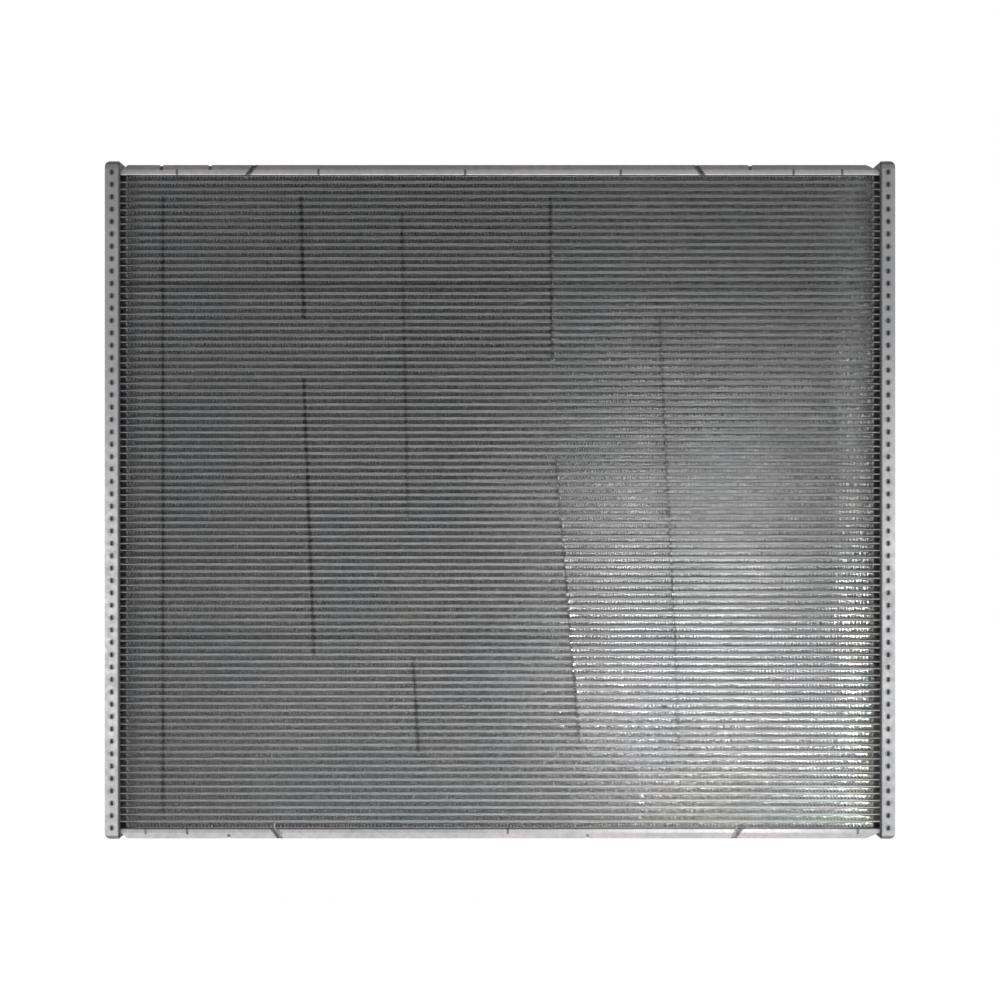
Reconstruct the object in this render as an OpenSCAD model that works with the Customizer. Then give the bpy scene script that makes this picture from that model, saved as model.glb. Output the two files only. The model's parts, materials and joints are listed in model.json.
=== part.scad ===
// Core of an air-cooled hydraulic oil cooler: flat oil tubes and folded air fins
// stacked between two side plates, with a tray-shaped header plate on each end.
// X runs along the tubes, Y through the core (air enters at -Y), Z up the stack.
// The origin is in the middle of the foot that the core stands on. Millimetres.

/* [Core] */
// Number of oil tubes in the stack
tube_count = 93; // [20:1:100]
// Height of one tube and one fin together
tube_pitch = 8; // [6:0.5:12]
// Width of the finned face
fin_span = 860; // [500:1:1100]
// Depth of the core, front face to back face
core_depth = 52; // [36:1:80]
// Bare tube between the fins and each header
tube_bare = 7; // [3:0.5:15]
// Clearance left between brazed pieces
braze_gap = 0.05; // [0.02:0.01:0.1]

/* [Oil tubes] */
// Outside height of a flat tube
tube_h = 1.9; // [1.6:0.1:3]
// Wall of a flat tube
tube_wall = 0.3; // [0.2:0.05:0.4]
// How far a tube stands through its header plate
tube_stick = 3; // [1:0.5:5]

/* [Turbulators] */
// Number of folds across one turbulator
turbulator_folds = 8; // [4:2:12]
// Sheet of a turbulator
turbulator_sheet = 0.15; // [0.1:0.05:0.3]
// Distance from a tube's end to its turbulator
turbulator_inset = 4; // [1:0.5:10]

/* [Air fins] */
// Number of folds along one fin, drawn wide so that the solids stay light
fin_folds = 44; // [20:2:60]
// Sheet of a fin, drawn thick to give a fin its real mass at this fold
fin_sheet = 0.35; // [0.1:0.05:0.5]

/* [Headers] */
// Sheet of a header plate
header_sheet = 1.8; // [1.2:0.1:2.2]
// Height of the header's rim, along the tubes
rim_h = 16.5; // [14:0.5:24]
// Clear width of the gasket groove inside the rim
groove_w = 6; // [4.5:0.5:9]
// Step from the bottom of the groove up to the tube plate
plate_step = 10; // [2:0.2:11]
// Tube plate left between the tube noses and the groove
tube_margin = 1; // [0.5:0.1:4]
// Outside radius where the rim bends into the groove
rim_bend = 2.6; // [2.4:0.1:4]
// Inside radius at the four corners of the groove
groove_corner = 0.6; // [0.3:0.1:3]
// Radius cut on the rim's corners at both ends of a header
rim_corner = 7; // [2:0.5:8]
// How far a header stands above the top side plate
header_rise = 4; // [0:0.5:10]

/* [Crimp slots] */
// Distance from one crimp slot to the next, all round a rim
slot_pitch = 14.2; // [10:0.1:20]
// Length of one crimp slot, along the rim
slot_len = 5.5; // [4:0.5:8]
// Width of one crimp slot
slot_w = 3.2; // [2:0.2:4]
// Height of the long sides' slots above the groove's underside
slot_rise = 8.4; // [8:0.2:11]
// Least distance from a header's end to the centre of its first slot
slot_end = 12.5; // [11:0.5:20]

/* [Side plates] */
// Sheet of a side plate
side_sheet = 1.5; // [1:0.1:2]
// Room between the web of a side plate and a header's gasket groove
web_room = 1.9; // [1:0.1:6]
// Upright part of a flange, below its leaning lip
flange_upright = 6; // [5:0.5:9]
// Lean of the lip over the channel, in degrees
lip_lean = 24; // [0:1:35]
// Outside radius of the bend between web and flange
side_bend = 2.5; // [2:0.1:4]
// Flange height left at the headers, below the end chamfers
chamfer_from = 5.5; // [4:0.5:8]
// Length of the chamfers at the left ends
chamfer_left = 8; // [4:0.5:20]
// Length of the chamfers at the right ends
chamfer_right = 15; // [4:0.5:20]

/* [Cuts in the side plates] */
// Width of an expansion cut
cut_w = 1.5; // [1:0.5:5]
// Sideways slant of an expansion cut over the flange's height
cut_slant = 9; // [0:1:15]
// Left expansion cut of the top plate, from the plate's left end
top_cut_left = 145; // [100:1:220]
// Right expansion cut of the top plate, from the plate's right end
top_cut_right = 202; // [100:1:220]
// Left expansion cut of the bottom plate, from the plate's left end
bottom_cut_left = 174; // [100:1:220]
// Right expansion cut of the bottom plate, from the plate's right end
bottom_cut_right = 158; // [100:1:220]
// Width of a fixture notch in the flanges' edges
notch_w = 4; // [2:0.5:8]
// Depth of a fixture notch
notch_depth = 1.2; // [0.5:0.1:4]
// Width of a tie slot in the flanges, which runs from the web to the lip
slit_w = 1.6; // [1:0.2:3]

/* [Hidden] */
rows_per_bank = 6;
fin_count = tube_count + 1;
bank_count = ceil(tube_count / rows_per_bank);

// Headers: x of the groove's underside, and what follows from it.
header_x = fin_span / 2 + tube_bare;
plate_top = plate_step + header_sheet;
groove_total = 2 * header_sheet + groove_w;
slot_hole_h = tube_h + 2 * braze_gap;
slot_hole_d = core_depth + 2 * braze_gap;
header_depth = slot_hole_d + 2 * (tube_margin + groove_total);
header_corner = groove_total + groove_corner;
tube_len = 2 * (header_x + plate_top + tube_stick);

// Side plates: the web runs on under the tube plate, the flanges stop at the groove.
flange_h = groove_total + web_room + side_sheet;
web_reach = header_x + plate_step - braze_gap;
flange_reach = header_x - braze_gap;
lip_run = (flange_h - flange_upright) * tan(lip_lean);

// Stack: the fins fill what the tubes leave of the pitch, and the flanges of the
// bottom plate stand level with the headers' ends.
fin_h = tube_pitch - tube_h;
stack_h = tube_count * tube_pitch + fin_h;
stack_z = flange_h;
header_len = stack_h + 2 * flange_h + header_rise;
tube_z0 = stack_z + fin_h + tube_h / 2;

// Crimp slots: as many as fit, in the middle of each side. Those in the end walls
// sit lower, clear of the rim's rounded corners.
function slots_on(side_len) = floor(side_len / slot_pitch) + 1;
long_slots = slots_on(header_len - 2 * slot_end);
end_slots = slots_on(header_depth - 2 * header_corner - slot_len);
end_slot_rise = min(slot_rise, rim_h - rim_corner - slot_w / 2);

// Fixture notches and tie slots, from a plate's left end, or from its right end
// where they are negative.
top_notches = [47, 103, -149];
top_slits = [65, 228, 397, -298, -99, -43];
bottom_notches = [125, -336];
bottom_slits = [29, 77, -428, -25];

round_fn = 48;
overcut = 1;
far = 4 * (fin_span + header_len);

function two_digits(n) = n < 10 ? str("0", n) : str(n);
function bank_name(kind, bank) = str(kind, "_", two_digits(bank + 1));

// The rows of a bank, of count rows in all. The last bank takes all that is left.
function bank_rows(bank, count) =
  [bank * rows_per_bank : (bank == bank_count - 1 ? count : (bank + 1) * rows_per_bank) - 1];

// A flat oval: a rectangle with half-round ends, its long side along X.
module flat_oval(long, short) {
  square([long - short, short], center = true);
  for (side = [-1, 1])
    translate([side * (long - short) / 2, 0])
      circle(d = short, $fn = round_fn);
}

// Puts a drawing of the Y-Z section along X, centred on the middle of the core.
module along_x(length)
  translate([-length / 2, 0, 0])
    rotate([90, 0, 90])
      linear_extrude(height = length)
        children();

/* ---- Oil tubes, air fins and turbulators, a bank of rows at a time ---- */

module oil_tube()
  along_x(tube_len)
    difference() {
      flat_oval(core_depth, tube_h);
      flat_oval(core_depth - 2 * tube_wall, tube_h - 2 * tube_wall);
    }

module oil_tubes(bank)
  color([0.72, 0.73, 0.74])
    for (row = bank_rows(bank, tube_count))
      translate([0, 0, tube_z0 + row * tube_pitch])
        oil_tube();

// A folded sheet: folds straight legs that run from side to side of a band of
// the given height, with the sheet measured across the band.
module folded_sheet(span, height, folds, sheet) {
  leg = span / folds;
  swing = height - sheet;
  function fold_y(i) = (i % 2 - 0.5) * swing;
  polygon(concat(
    [for (i = [0 : folds]) [i * leg - span / 2, fold_y(i) + sheet / 2]],
    [for (i = [folds : -1 : 0]) [i * leg - span / 2, fold_y(i) - sheet / 2]]));
}

module air_fin()
  rotate([90, 0, 0])
    linear_extrude(height = core_depth, center = true)
      folded_sheet(fin_span, fin_h - 2 * braze_gap, fin_folds, fin_sheet);

module air_fins(bank)
  color([0.45, 0.46, 0.47])
    for (row = bank_rows(bank, fin_count))
      translate([0, 0, stack_z + fin_h / 2 + row * tube_pitch])
        air_fin();

module turbulator()
  along_x(tube_len - 2 * turbulator_inset)
    folded_sheet(core_depth - 2 * tube_h, tube_h - 2 * tube_wall - 2 * braze_gap,
      turbulator_folds, turbulator_sheet);

module turbulators(bank)
  color([0.62, 0.63, 0.64])
    for (row = bank_rows(bank, tube_count))
      translate([0, 0, tube_z0 + row * tube_pitch])
        turbulator();

/* ---- Header plates ---- */

// Section through the rim and gasket groove: x is measured inwards from the
// rim's outside face, y outwards from the groove's underside.
module rim_section() {
  translate([rim_bend, 0])
    square([groove_total - rim_bend, header_sheet]);
  translate([0, rim_bend])
    square([header_sheet, rim_h - rim_bend]);
  translate([groove_total - header_sheet, 0])
    square([header_sheet, plate_top]);
  intersection() {
    translate([rim_bend, rim_bend])
      difference() {
        circle(r = rim_bend, $fn = round_fn);
        circle(r = rim_bend - header_sheet, $fn = round_fn);
      }
    square(rim_bend);
  }
}

// One straight run of the rim, its outside face on x = 0 and its length along z.
module rim_run(length)
  translate([0, 0, -length / 2])
    linear_extrude(height = length)
      rim_section();

// The rim turned a quarter round one corner of the tray.
module rim_turn()
  rotate_extrude(angle = 90, $fn = round_fn)
    translate([header_corner, 0])
      mirror([1, 0])
        rim_section();

// The closed rim, lying in the X-Y plane with its edge up.
module rim_ring(depth, length) {
  for (side = [0, 1])
    mirror([side, 0, 0]) {
      translate([-depth / 2, 0, 0])
        rotate([90, 0, 0])
          rim_run(length - 2 * header_corner);
      for (end = [0, 1])
        mirror([0, end, 0])
          translate([depth / 2 - header_corner, length / 2 - header_corner, 0])
            rim_turn();
    }
  for (end = [0, 1])
    mirror([0, end, 0])
      translate([0, -length / 2, 0])
        rotate([90, 0, 90])
          rim_run(depth - 2 * header_corner);
}

// The tube plate that closes the tray inside the groove.
module tube_plate(depth, length)
  translate([0, 0, plate_step + header_sheet / 2])
    cube([depth - 2 * groove_total + header_sheet,
          length - 2 * groove_total + header_sheet, header_sheet], center = true);

module crimp_slot()
  linear_extrude(height = header_sheet + 2 * overcut, center = true)
    flat_oval(slot_len, slot_w);

// A row of slots along Y, through a wall that stands across X at x = 0.
module slot_row(count)
  for (i = [0 : count - 1])
    translate([0, (i - (count - 1) / 2) * slot_pitch, 0])
      rotate([90, 0, 90])
        crimp_slot();

module crimp_slots(depth, length)
  for (side = [0, 1]) {
    mirror([side, 0, 0])
      translate([(depth - header_sheet) / 2, 0, slot_rise])
        slot_row(long_slots);
    mirror([0, side, 0])
      translate([0, (length - header_sheet) / 2, end_slot_rise])
        rotate([0, 0, 90])
          slot_row(end_slots);
  }

// Rounds the rim's edge off towards both ends of the tray.
module rim_corner_cuts(depth, length)
  for (end = [0, 1])
    mirror([0, end, 0])
      translate([0, length / 2 - rim_corner, rim_h - rim_corner])
        rotate([90, 0, 90])
          difference() {
            translate([0, 0, -depth / 2 - overcut])
              cube([rim_corner + overcut, rim_corner + overcut, depth + 2 * overcut]);
            cylinder(r = rim_corner, h = depth + 4 * overcut, center = true, $fn = round_fn);
          }

// The whole tray, lying in the X-Y plane with its long side along Y.
module header_tray()
  difference() {
    union() {
      rim_ring(header_depth, header_len);
      tube_plate(header_depth, header_len);
    }
    crimp_slots(header_depth, header_len);
    rim_corner_cuts(header_depth, header_len);
    for (row = [0 : tube_count - 1])
      translate([0, tube_z0 - header_len / 2 + row * tube_pitch, plate_step - overcut])
        linear_extrude(height = header_sheet + 2 * overcut)
          flat_oval(slot_hole_d, slot_hole_h);
  }

module header()
  color([0.80, 0.81, 0.82])
    translate([header_x, 0, header_len / 2])
      rotate([90, 0, 90])
        header_tray();

module right_header() header();

module left_header()
  mirror([1, 0, 0])
    header();

/* ---- Side plates ---- */

// Half of a side plate's section: x outwards from the middle of the core, y away
// from the outermost fin. The flange stands upright and its lip leans inwards.
module side_half_section() {
  half = core_depth / 2;
  square([half - side_bend, side_sheet]);
  translate([half - side_bend, side_bend])
    intersection() {
      difference() {
        circle(r = side_bend, $fn = round_fn);
        circle(r = side_bend - side_sheet, $fn = round_fn);
      }
      translate([0, -side_bend])
        square(side_bend);
    }
  polygon([
    [half, side_bend],
    [half, flange_upright],
    [half - lip_run, flange_h],
    [half - lip_run - side_sheet, flange_h],
    [half - side_sheet, flange_upright],
    [half - side_sheet, side_bend]]);
}

// The web alone, which is all that runs in under the tube plates.
module web_tongue()
  along_x(2 * web_reach)
    translate([0, side_sheet / 2])
      square([core_depth - 2 * side_bend, side_sheet], center = true);

// A whole side plate before it is cut, standing on z = 0 with its channel up.
module side_channel() {
  along_x(2 * flange_reach)
    for (side = [0, 1])
      mirror([side, 0])
        side_half_section();
  web_tongue();
}

// Cuts the flanges down towards a header. side is -1 on the left, 1 on the right.
module end_chamfer(side, length)
  translate([side * flange_reach, core_depth / 2 + overcut, 0])
    rotate([90, 0, 0])
      linear_extrude(height = core_depth + 2 * overcut)
        polygon([
          [side * far, chamfer_from], [0, chamfer_from],
          [-side * length, flange_h], [-side * length, flange_h + overcut],
          [side * far, flange_h + overcut]]);

// A gap of the given width in both flanges, between two heights above the fins.
// Its place counts from the left end, or from the right end where it is negative.
module flange_gap(place, width, low, high)
  translate([(place < 0 ? flange_reach : -flange_reach) + place - width / 2,
             -core_depth / 2 - overcut, low])
    cube([width, core_depth + 2 * overcut, high - low]);

module cut_channel(notches, slits)
  difference() {
    side_channel();
    end_chamfer(-1, chamfer_left);
    end_chamfer(1, chamfer_right);
    for (place = notches)
      flange_gap(place, notch_w, flange_h - notch_depth, flange_h + overcut);
    for (place = slits)
      flange_gap(place, slit_w, side_sheet, flange_upright);
  }

// Everything from one slanted line to another, each given as its place at the
// web and how far it leans to the right over the flange's height.
module between(from, to)
  translate([0, far / 2, 0])
    rotate([90, 0, 0])
      linear_extrude(height = far)
        polygon([
          [from[0] - from[1], -flange_h], [to[0] - to[1], -flange_h],
          [to[0] + to[1], flange_h], [from[0] + from[1], flange_h]]);

// Piece 0, 1 or 2 of a side plate, left to right, between its expansion cuts.
module side_piece(piece, cut_left, cut_right, notches, slits) {
  left = cut_left - flange_reach;
  right = flange_reach - cut_right;
  edges = [
    [[-far, 0], [left - cut_w / 2, cut_slant]],
    [[left + cut_w / 2, cut_slant], [right - cut_w / 2, -cut_slant]],
    [[right + cut_w / 2, -cut_slant], [far, 0]]];
  color([0.66, 0.67, 0.68])
    intersection() {
      cut_channel(notches, slits);
      between(edges[piece][0], edges[piece][1]);
    }
}

module top_side_plate(piece)
  translate([0, 0, stack_z + stack_h])
    side_piece(piece, top_cut_left, top_cut_right, top_notches, top_slits);

module bottom_side_plate(piece)
  translate([0, 0, stack_z])
    mirror([0, 0, 1])
      side_piece(piece, bottom_cut_left, bottom_cut_right, bottom_notches, bottom_slits);

/* ---- Nodes ---- */

left_header();
right_header();
top_side_plate(0);  // top_side_plate_left
top_side_plate(1);  // top_side_plate_middle
top_side_plate(2);  // top_side_plate_right
bottom_side_plate(0);  // bottom_side_plate_left
bottom_side_plate(1);  // bottom_side_plate_middle
bottom_side_plate(2);  // bottom_side_plate_right
for (bank = [0 : bank_count - 1]) {
  oil_tubes(bank);
  air_fins(bank);
  turbulators(bank);
}
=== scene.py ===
"""Finishes the core of a hydraulic oil cooler: close air fins, brazed sheet, studio."""

import json
import math

import bpy
import numpy as np
from bpy.props import FloatProperty, FloatVectorProperty, PointerProperty
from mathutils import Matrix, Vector

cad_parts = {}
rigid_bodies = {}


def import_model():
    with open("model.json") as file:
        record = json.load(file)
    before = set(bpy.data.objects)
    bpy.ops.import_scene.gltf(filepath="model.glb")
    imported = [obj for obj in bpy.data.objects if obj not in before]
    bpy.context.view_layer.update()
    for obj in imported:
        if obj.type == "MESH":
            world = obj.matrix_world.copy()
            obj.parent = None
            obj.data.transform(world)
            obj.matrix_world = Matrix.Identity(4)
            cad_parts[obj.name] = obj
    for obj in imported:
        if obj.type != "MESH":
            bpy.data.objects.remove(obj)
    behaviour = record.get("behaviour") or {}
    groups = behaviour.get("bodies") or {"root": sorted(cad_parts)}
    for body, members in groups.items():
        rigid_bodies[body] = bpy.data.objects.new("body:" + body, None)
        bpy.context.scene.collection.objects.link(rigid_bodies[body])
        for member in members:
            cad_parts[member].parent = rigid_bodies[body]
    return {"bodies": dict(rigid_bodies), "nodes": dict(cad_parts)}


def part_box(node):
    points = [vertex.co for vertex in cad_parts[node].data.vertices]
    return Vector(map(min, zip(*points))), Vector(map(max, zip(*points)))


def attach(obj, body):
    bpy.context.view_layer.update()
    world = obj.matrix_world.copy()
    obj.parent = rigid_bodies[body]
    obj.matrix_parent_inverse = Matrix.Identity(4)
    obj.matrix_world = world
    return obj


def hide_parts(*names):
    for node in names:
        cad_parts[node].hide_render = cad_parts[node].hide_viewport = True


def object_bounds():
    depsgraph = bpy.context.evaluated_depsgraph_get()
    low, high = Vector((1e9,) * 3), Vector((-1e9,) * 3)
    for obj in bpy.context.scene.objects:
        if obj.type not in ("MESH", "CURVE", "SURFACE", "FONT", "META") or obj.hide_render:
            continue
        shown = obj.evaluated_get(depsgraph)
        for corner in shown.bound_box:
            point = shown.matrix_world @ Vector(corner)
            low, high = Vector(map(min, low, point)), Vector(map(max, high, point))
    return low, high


bl_info = {
    "name": "Oil Cooler Core",
    "version": (1, 0, 0),
    "blender": (4, 5, 0),
    "location": "View3D > Sidebar > Oil Cooler",
    "description": "Builds the fins, braze, finishes and studio of an oil cooler core",
    "category": "Object",
}

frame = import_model()
CAD_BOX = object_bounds()
NODES = frame["nodes"]
BODY = next(iter(frame["bodies"]))
RNG_SEED = 407


def corners(node):
    """Lowest and highest corner of a CAD node, as two arrays."""
    low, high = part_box(node)
    return np.array(low), np.array(high)


def nodes_named(kind):
    """The names of the CAD nodes of one kind, lowest first."""
    return sorted(name for name in NODES if name.startswith(kind))


OBJECT_LOW, OBJECT_HIGH = np.array(CAD_BOX[0]), np.array(CAD_BOX[1])
MIDDLE = (OBJECT_LOW + OBJECT_HIGH) / 2
# The fins stand in banks. The first one is full: it holds six fins and the gaps between them.
BANK_ROWS = 6
BANKS = nodes_named("air_fins")
FIN_LOW, BANK_HIGH = corners(BANKS[0])
FIN_HIGH = corners(BANKS[-1])[1]
ROW_PITCH = (corners(BANKS[1])[0][2] - FIN_LOW[2]) / BANK_ROWS
FIN_HEIGHT = (BANK_HIGH[2] - FIN_LOW[2]) - (BANK_ROWS - 1) * ROW_PITCH
CORE_WIDTH = FIN_HIGH[0] - FIN_LOW[0]
# Where a tube's rounded nose begins, in front and behind.
TUBE_NOSE_Y = corners("oil_tubes_01")[1][1] - 0.00095
# Headers: their sheet, the gasket groove, and the row of crimp slots.
HEADER_SHEET = 0.0018
GROOVE_WIDTH = 0.006
GROOVE_Y = corners("right_header")[1][1] - HEADER_SHEET - GROOVE_WIDTH / 2
CRIMP_PITCH = 0.0142
CRIMP_X = 0.4455
# Side plates: their sheet, the upright part of the flange, the slope of its lip, and how far the
# lip reaches in from the plate's outer edge.
PLATE_SHEET = 0.0015
FLANGE_UPRIGHT = 0.006
LIP_SLOPE = math.tan(math.radians(24))
LIP_BAND = 0.0052
# How far a saw cut leans to the side, from a plate's web to its tip.
CUT_LEAN = 0.009


class PlateEdge:
    """The top or bottom edge of the core: the heights of its side plates' web and tip, and of the
    inner edge of their lip, their front and back, the two saw cuts, each with its place along X at
    the web and its lean, and the places along X of the nicks and tie slots."""

    def __init__(self, name, notches, slots):
        self.name = name
        self.notches = notches
        self.slots = slots
        low, high = corners(name + "_side_plate_middle")
        self.is_top = name == "top"
        self.web, self.tip = (low[2], high[2]) if self.is_top else (high[2], low[2])
        self.lip = self.tip + math.copysign(LIP_BAND, self.web - self.tip)
        self.depth = high[1]
        self.cuts = (("left", low[0], CUT_LEAN), ("right", high[0], -CUT_LEAN))


PLATE_EDGES = (
    PlateEdge("top", (-0.390, -0.334, 0.288), (-0.372, -0.209, -0.040, 0.139, 0.338, 0.394)),
    PlateEdge("bottom", (-0.312, 0.101), (-0.408, -0.360, 0.009, 0.412)),
)


# ---- Sizes and colours that a user would change ----


class FinSizes(bpy.types.PropertyGroup):
    """Sizes of the folded air fins"""

    fold_pitch: FloatProperty(
        name="Fold pitch", description="Distance from one leg of a fin to the next",
        default=0.002, min=0.0012, max=0.005, precision=4, unit="LENGTH",
    )
    sheet: FloatProperty(
        name="Sheet", description="Thickness of the fin sheet",
        default=0.00013, min=0.00005, max=0.0003, precision=5, unit="LENGTH",
    )
    crest: FloatProperty(
        name="Crest", description="Flat on top of each fold, where it is brazed to a tube",
        default=0.0007, min=0.0001, max=0.001, precision=4, unit="LENGTH",
    )
    swerve: FloatProperty(
        name="Swerve", description="How far the legs swerve sideways halfway through the core",
        default=0.0022, min=0.0, max=0.004, precision=4, unit="LENGTH",
    )
    louvre_pitch: FloatProperty(
        name="Louvre pitch", description="Distance from one louvre to the next, through the core",
        default=0.0015, min=0.0005, max=0.004, precision=4, unit="LENGTH",
    )
    louvre_slope: FloatProperty(
        name="Louvre slope", description="How far a louvre rises over its width, 1 being 45 degrees",
        default=0.42, min=-1.0, max=1.0,
    )
    unevenness: FloatProperty(
        name="Unevenness", description="Random sideways error of each fold, as a share of the pitch",
        default=0.05, min=0.0, max=0.2, subtype="FACTOR",
    )


class BeadSizes(bpy.types.PropertyGroup):
    """Sizes of the beads of braze"""

    thick: FloatProperty(
        name="Thick", description="How far a bead of braze stands out in front of the fins",
        default=0.00035, min=0.0001, max=0.001, precision=5, unit="LENGTH",
    )
    tall: FloatProperty(
        name="Tall", description="Half the height of a bead of braze",
        default=0.0006, min=0.0001, max=0.002, precision=5, unit="LENGTH",
    )
    inset: FloatProperty(
        name="Inset", description="From the tube to the middle of a bead",
        default=0.00015, min=0.0, max=0.001, precision=5, unit="LENGTH",
    )


class StripAndBurrSizes(bpy.types.PropertyGroup):
    """Sizes of the dark strips behind the saw cuts, which stand in for the shade inside them, and of the
    curls of burr that the saw left
    """

    # Wide and Thick size the dark strips behind the saw cuts, which stand in for the shade inside them.
    wide: FloatProperty(
        name="Wide", description="Width of the torn strip that hangs behind a saw cut",
        default=0.0034, min=0.002, max=0.006, precision=5, unit="LENGTH",
    )
    thick: FloatProperty(
        name="Thick", description="Thickness of the torn strips",
        default=0.0003, min=0.0001, max=0.001, precision=5, unit="LENGTH",
    )
    sway: FloatProperty(
        name="Sway", description="How far a curl swings to each side",
        default=0.0022, min=0.0, max=0.005, precision=5, unit="LENGTH",
    )
    reach: FloatProperty(
        name="Reach", description="How far a curl stands up past the plate, over the first fins",
        default=0.011, min=0.0, max=0.03, precision=4, unit="LENGTH",
    )


class Finishes(bpy.types.PropertyGroup):
    """Colours of the metal"""

    header: FloatVectorProperty(
        name="Headers", description="Colour of the header plates",
        default=(0.60, 0.60, 0.61), subtype="COLOR", min=0, max=1,
    )
    plate: FloatVectorProperty(
        name="Side plates", description="Colour of the side plates",
        default=(0.60, 0.59, 0.60), subtype="COLOR", min=0, max=1,
    )
    tube: FloatVectorProperty(
        name="Tubes", description="Colour of the oil tubes",
        default=(0.36, 0.365, 0.37), subtype="COLOR", min=0, max=1,
    )
    fin: FloatVectorProperty(
        name="Fins", description="Colour of the air fins",
        default=(0.76, 0.77, 0.775), subtype="COLOR", min=0, max=1,
    )
    bead: FloatVectorProperty(
        name="Braze", description="Colour of the beads of braze",
        default=(0.28, 0.28, 0.28), subtype="COLOR", min=0, max=1,
    )


class Studio(bpy.types.PropertyGroup):
    """The camera's distance and the strengths of the lights"""

    distance: FloatProperty(
        name="Camera distance", description="From the camera to the middle of the core",
        default=3.2, min=1.0, max=10.0, unit="LENGTH",
    )
    filled: FloatProperty(
        name="Frame filled", description="Share of the frame's width that the core takes",
        default=0.7905, min=0.1, max=1.0, subtype="FACTOR",
    )
    key_power: FloatProperty(
        name="Key lamp", description="Power of the large lamp far to the right, in watts",
        default=3.0, min=0.0, max=500.0,
    )
    wall_strength: FloatProperty(
        name="Wall of lamps", description="Strength of the lamps behind the core",
        default=0.070, min=0.0, max=100.0,
    )
    front_power: FloatProperty(
        name="Front lamp", description="Power of the low strip lamp in front of the core, in watts",
        default=1.5, min=0.0, max=500.0,
    )
    right_power: FloatProperty(
        name="Right lamp", description="Power of the strip lamp low at the right, in watts",
        default=0.5, min=0.0, max=500.0,
    )
    room: FloatProperty(
        name="Room", description="Brightness of the room in front of the core, as its metal shows it",
        default=0.3, min=0.0, max=1.0,
    )
    ambient: FloatProperty(
        name="Ambient", description="Strength of the light from all round",
        default=0.5, min=0.0, max=2.0,
    )


# ---- Meshes ----


def carried(rings, cap):
    """The closed skin of an outline that is carried along a path. rings holds the outline's corners
    at each station. Each face joins two neighbours on a ring to the same two on the next, and the
    faces of cap close the first ring and, turned round, the last."""
    stations, count = rings.shape[:2]
    corner = np.arange(count)
    after = (corner + 1) % count
    first = np.arange(stations - 1)[:, None] * count
    sides = np.stack((first + corner, first + after, first + after + count, first + corner + count), axis=2)
    end = cap[:, ::-1] + (stations - 1) * count
    return rings.reshape(-1, 3), np.vstack((sides.reshape(-1, 4), cap, end))


def joined(parts):
    """One mesh from many: the faces of each part count on from the points of the parts before it."""
    used = np.cumsum([0] + [len(points) for points, _ in parts])
    quads = [quads + start for (_, quads), start in zip(parts, used)]
    return np.vstack([points for points, _ in parts]), np.vstack(quads)


def volume(points, quads):
    """Signed volume inside a closed mesh: the sum of the pyramids from the origin."""
    a, b, c, d = (points[quads[:, i]] for i in range(4))
    halves = np.einsum("ij,ij->i", a, np.cross(b, c)) + np.einsum("ij,ij->i", a, np.cross(c, d))
    return halves.sum() / 6


def mesh_piece(name, parts, finish, node=None):
    """A piece made of parts, each an array of points and an array of four-cornered faces. It
    stands for the CAD node, where one is given."""
    points, quads = joined(parts)
    if volume(points, quads) < 0:
        quads = quads[:, ::-1]
    mesh = bpy.data.meshes.new(name)
    mesh.vertices.add(len(points))
    mesh.vertices.foreach_set("co", np.ascontiguousarray(points, dtype=np.float32).ravel())
    mesh.loops.add(quads.size)
    mesh.loops.foreach_set("vertex_index", np.ascontiguousarray(quads, dtype=np.int32).ravel())
    mesh.polygons.add(len(quads))
    mesh.polygons.foreach_set("loop_start", np.arange(0, quads.size, 4, dtype=np.int32))
    mesh.update(calc_edges=True)
    mesh.materials.append(finish)
    piece = bpy.data.objects.new(name, mesh)
    bpy.context.collection.objects.link(piece)
    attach(piece, BODY)
    if node:
        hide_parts(node)


def row_feet(node):
    """The height of the foot of each fin in a bank."""
    low, high = corners(node)
    rows = int(round((high[2] - low[2] - FIN_HEIGHT) / ROW_PITCH)) + 1
    return low[2] + np.arange(rows) * ROW_PITCH


# ---- Air fins ----

# Marks that the wires of the brazing fixture left across the front: the height and the place
# along X of each end, in metres, how wide a gap they press into the fins, and the share of the
# rows that show it.
WIRE_MARKS = (
    (0.74, -0.229, 0.60, -0.226, 0.0030, 0.95),
    (0.53, -0.226, 0.21, -0.214, 0.0026, 0.85),
    (0.72, -0.113, 0.37, -0.106, 0.0018, 0.60),
    (0.21, -0.100, 0.10, -0.094, 0.0026, 0.90),
    (0.74, 0.058, 0.55, 0.060, 0.0030, 0.95),
    (0.44, 0.064, 0.30, 0.076, 0.0022, 0.65),
    (0.30, 0.076, 0.11, 0.091, 0.0028, 0.90),
    (0.60, 0.184, 0.22, 0.202, 0.0020, 0.80),
    (0.22, 0.202, 0.10, 0.206, 0.0014, 0.60),
    (0.74, -0.388, 0.03, -0.388, 0.0014, 0.70),
)
# How far a mark wanders from row to row, and how far along a row its push is felt.
WIRE_WANDER = 0.0006
PUSH_LENGTH = 0.006
# Heights of three rows that are darkened as painted shade, and how dark each is.
SHADED_ROWS = ((0.637, 0.3), (0.329, 0.15), (0.233, 0.2))
# How far the folds drift along a fin.
FOLD_DRIFT = 0.0016


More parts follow.
